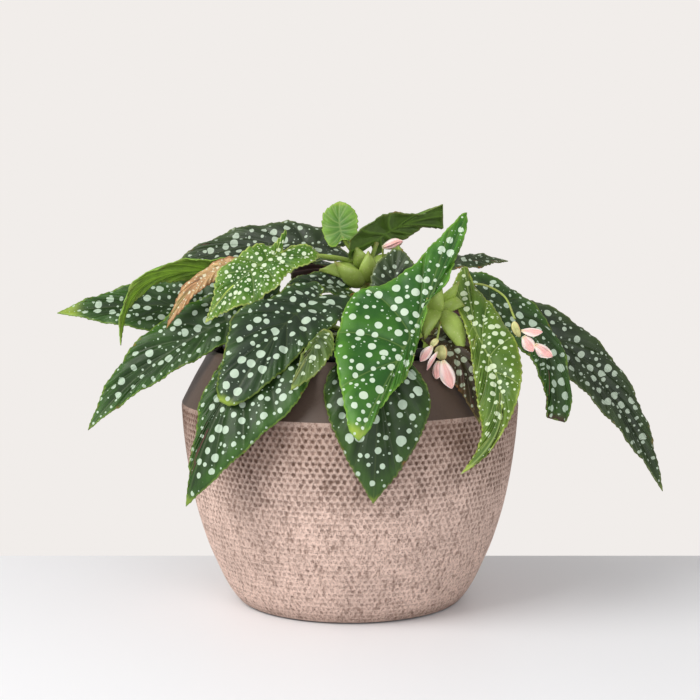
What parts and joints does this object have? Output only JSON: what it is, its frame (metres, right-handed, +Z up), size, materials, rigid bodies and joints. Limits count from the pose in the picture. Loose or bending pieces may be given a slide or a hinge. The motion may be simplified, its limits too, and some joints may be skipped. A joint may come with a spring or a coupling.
{
  "type": "potted cane begonia",
  "caption": "Spotted cane begonia with arching angel-wing leaves and small pink flowers, growing in a black nursery pot set inside a dimpled ceramic planter that stands on a table.",
  "frame": {"origin": "centre of the planter's flat underside", "axes": "+Z up, -Y towards the plant's best side, +X to the right as seen from there"},
  "size_m": [0.4753, 0.3276, 0.3083],
  "materials": {
    "ceramic": "matt stoneware with a close dimpled body, pinkish beige washed with brown, and a smooth dark brown shoulder",
    "liner": "thin black plastic, slightly satin",
    "soil": "dark crumbly potting soil with pale grains",
    "stem": "smooth green canes and leaf stalks, flushed red at the nodes",
    "blade": "satin dark green leaf with round silvery spots, dark red underneath",
    "young_blade": "satin lime green young leaf with dense pale spots",
    "dry_blade": "papery dried leaf edge, straw coloured",
    "petal": "waxy pale pink petals with green ovaries"
  },
  "bodies": {
    "root": {"ceramic_pot": "ceramic", "nursery_pot": "liner", "soil": "soil", "cane_centre": "stem", "cane_right": "stem", "cane_left": "stem", "cane_rear": "stem", "leaf_left_low": "blade", "leaf_left_top": "blade", "leaf_left_folded": "young_blade", "leaf_young_left": "young_blade", "leaf_dried": "dry_blade", "leaf_left_middle": "blade", "leaf_centre_left": "blade", "leaf_centre_small": "blade", "leaf_front_left": "blade", "leaf_front_bright": "blade", "leaf_front_right": "young_blade", "leaf_front_low": "blade", "leaf_right_shaded": "blade", "leaf_right": "blade", "leaf_far_right": "blade", "leaf_centre_back": "blade", "leaf_right_back": "blade", "leaf_top_young": "young_blade", "leaf_top": "blade", "leaf_centre_flat": "blade", "leaf_rear_left": "blade", "leaf_rear_left_low": "blade", "leaf_rear_centre": "blade", "leaf_rear_right": "blade", "leaf_rear_high": "blade", "flower_stalk_front": "stem", "flower_stalk_right": "stem", "flower_stalk_top": "stem", "flower_front_ovary": "petal", "flower_front_petal_left": "petal", "flower_front_petal_right": "petal", "flower_side_ovary": "petal", "flower_side_petal_outer": "petal", "flower_side_petal_inner": "petal", "flower_right_ovary": "petal", "flower_right_petal_top": "petal", "flower_right_petal_middle": "petal", "flower_right_petal_low": "petal", "flower_top_bud": "petal"}
  },
  "joints": []
}
